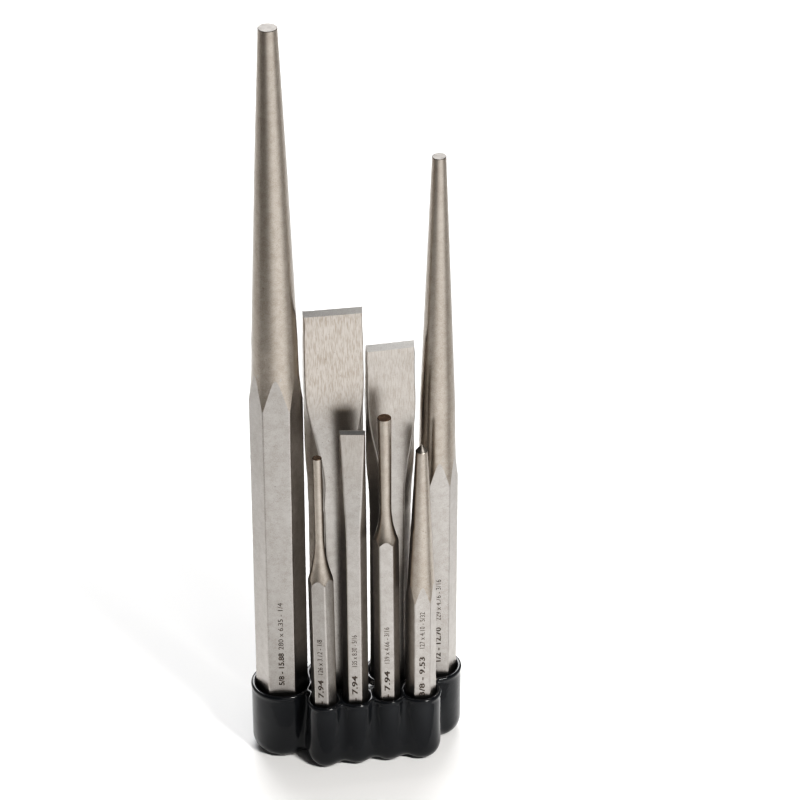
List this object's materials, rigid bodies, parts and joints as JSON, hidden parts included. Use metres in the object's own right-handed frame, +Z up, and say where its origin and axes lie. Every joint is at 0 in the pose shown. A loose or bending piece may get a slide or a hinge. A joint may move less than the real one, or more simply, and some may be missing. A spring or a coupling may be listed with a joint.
{
  "type": "punch and cold chisel set in holder",
  "caption": "Row of hexagonal-shank punches and cold chisels standing tips up in a dip-moulded vinyl pocket holder; each tool lifts out of its own pocket.",
  "frame": {"origin": "on the surface the holder stands on, under the middle of the holder's footprint", "axes": "+Z up along the tools, +X along the rows of pockets from the large long punch to the small one, -Y towards the front row of small tools"},
  "size_m": [0.0746, 0.0322, 0.2833],
  "materials": {
    "vinyl": "glossy dip-moulded vinyl",
    "steel": "satin, fine blasted grain"
  },
  "bodies": {
    "holder": {"holder": "vinyl"},
    "long_punch_large": {"long_punch_large": "steel"},
    "chisel_large": {"chisel_large": "steel"},
    "chisel_medium": {"chisel_medium": "steel"},
    "long_punch_small": {"long_punch_small": "steel"},
    "centre_punch": {"centre_punch": "steel"},
    "pin_punch_medium": {"pin_punch_medium": "steel"},
    "chisel_small": {"chisel_small": "steel"},
    "pin_punch_small": {"pin_punch_small": "steel"}
  },
  "joints": [
    {"name": "long_punch_large_lift", "type": "slide", "parent": "holder", "child": "long_punch_large", "axis": [0, 0, 1], "range_m": [0, 0.045]},
    {"name": "chisel_large_lift", "type": "slide", "parent": "holder", "child": "chisel_large", "axis": [0, 0, 1], "range_m": [0, 0.045]},
    {"name": "chisel_medium_lift", "type": "slide", "parent": "holder", "child": "chisel_medium", "axis": [0, 0, 1], "range_m": [0, 0.045]},
    {"name": "long_punch_small_lift", "type": "slide", "parent": "holder", "child": "long_punch_small", "axis": [0, 0, 1], "range_m": [0, 0.045]},
    {"name": "centre_punch_lift", "type": "slide", "parent": "holder", "child": "centre_punch", "axis": [0, 0, 1], "range_m": [0, 0.045]},
    {"name": "pin_punch_medium_lift", "type": "slide", "parent": "holder", "child": "pin_punch_medium", "axis": [-0.007, 0, 1], "range_m": [0, 0.045]},
    {"name": "chisel_small_lift", "type": "slide", "parent": "holder", "child": "chisel_small", "axis": [-0.0044, 0, 1], "range_m": [0, 0.045]},
    {"name": "pin_punch_small_lift", "type": "slide", "parent": "holder", "child": "pin_punch_small", "axis": [-0.0122, 0, 0.9999], "range_m": [0, 0.045]}
  ]
}
